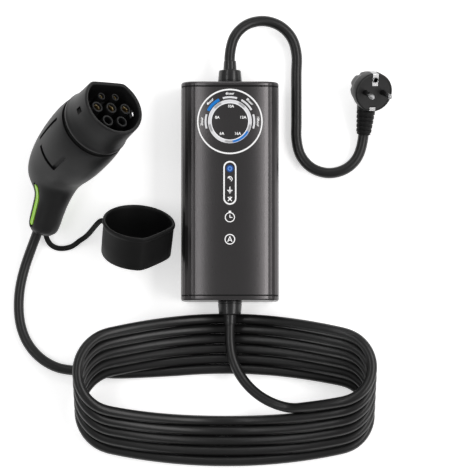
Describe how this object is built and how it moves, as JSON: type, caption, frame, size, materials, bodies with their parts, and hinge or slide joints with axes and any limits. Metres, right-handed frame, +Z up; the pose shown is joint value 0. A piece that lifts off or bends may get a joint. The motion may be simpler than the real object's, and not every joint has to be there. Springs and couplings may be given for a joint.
{
  "type": "portable ev charger",
  "caption": "Portable electric car charger: slim control box with a dial panel, mains lead with an angled plug, and a coiled cable to a hand-held vehicle connector with a tethered rubber cap.",
  "frame": {"origin": "middle of the control box's flat back, which lies on the floor", "axes": "+X to the right of the control box seen from its front, +Y along it from the car cable's end to the mains lead's end, +Z up, out of its front panel"},
  "size_m": [0.3737, 0.4428, 0.1375],
  "materials": {
    "case": "fine satin anodised grey",
    "plastic": "finely textured black",
    "rubber": "matt black",
    "trim": "white",
    "light": "translucent white light guide",
    "steel": "plated",
    "brass": "plated contact",
    "board": "solder mask green",
    "component": "blue",
    "terminal": "green",
    "cable": "smooth matt jacket",
    "strip": "lime green"
  },
  "bodies": {
    "root": {"amp_light_ring": "light", "bottom_bush": "rubber", "bottom_end_cap": "plastic", "bottom_gasket": "rubber", "bottom_screw_1": "steel", "bottom_screw_2": "steel", "bottom_screw_3": "steel", "bottom_screw_4": "steel", "bottom_terminal_block": "terminal", "cap": "rubber", "cap_strap": "rubber", "capacitor": "plastic", "contact_carrier": "plastic", "contact_power_1": "brass", "contact_power_2": "brass", "contact_power_3": "brass", "contact_signal_1": "brass", "contact_signal_2": "brass", "dial_panel": "case", "dial_trim_ring": "trim", "display_board": "board", "ev_cable_box_tail": "cable", "ev_cable_coil": "cable", "ev_cable_gun_tail": "cable", "front_shroud": "plastic", "green_strip_left": "strip", "green_strip_right": "strip", "gun_body": "plastic", "header_block": "plastic", "main_board": "board", "mains_lead": "cable", "plug_body": "plastic", "plug_boot": "rubber", "plug_earth_clip_1": "steel", "plug_earth_clip_2": "steel", "plug_pin_1": "steel", "plug_pin_2": "steel", "relay_1": "component", "relay_2": "component", "seal_ring": "rubber", "sense_ring": "component", "sleeve": "case", "status_panel": "case", "status_trim_ring": "trim", "timer_light_1": "light", "timer_light_2": "light", "timer_light_3": "light", "timer_light_4": "light", "timer_light_5": "light", "top_bush": "rubber", "top_end_cap": "plastic", "top_gasket": "rubber", "top_screw_1": "steel", "top_screw_2": "steel", "top_screw_3": "steel", "top_screw_4": "steel", "top_terminal_block": "terminal", "transformer": "component"}
  },
  "joints": []
}
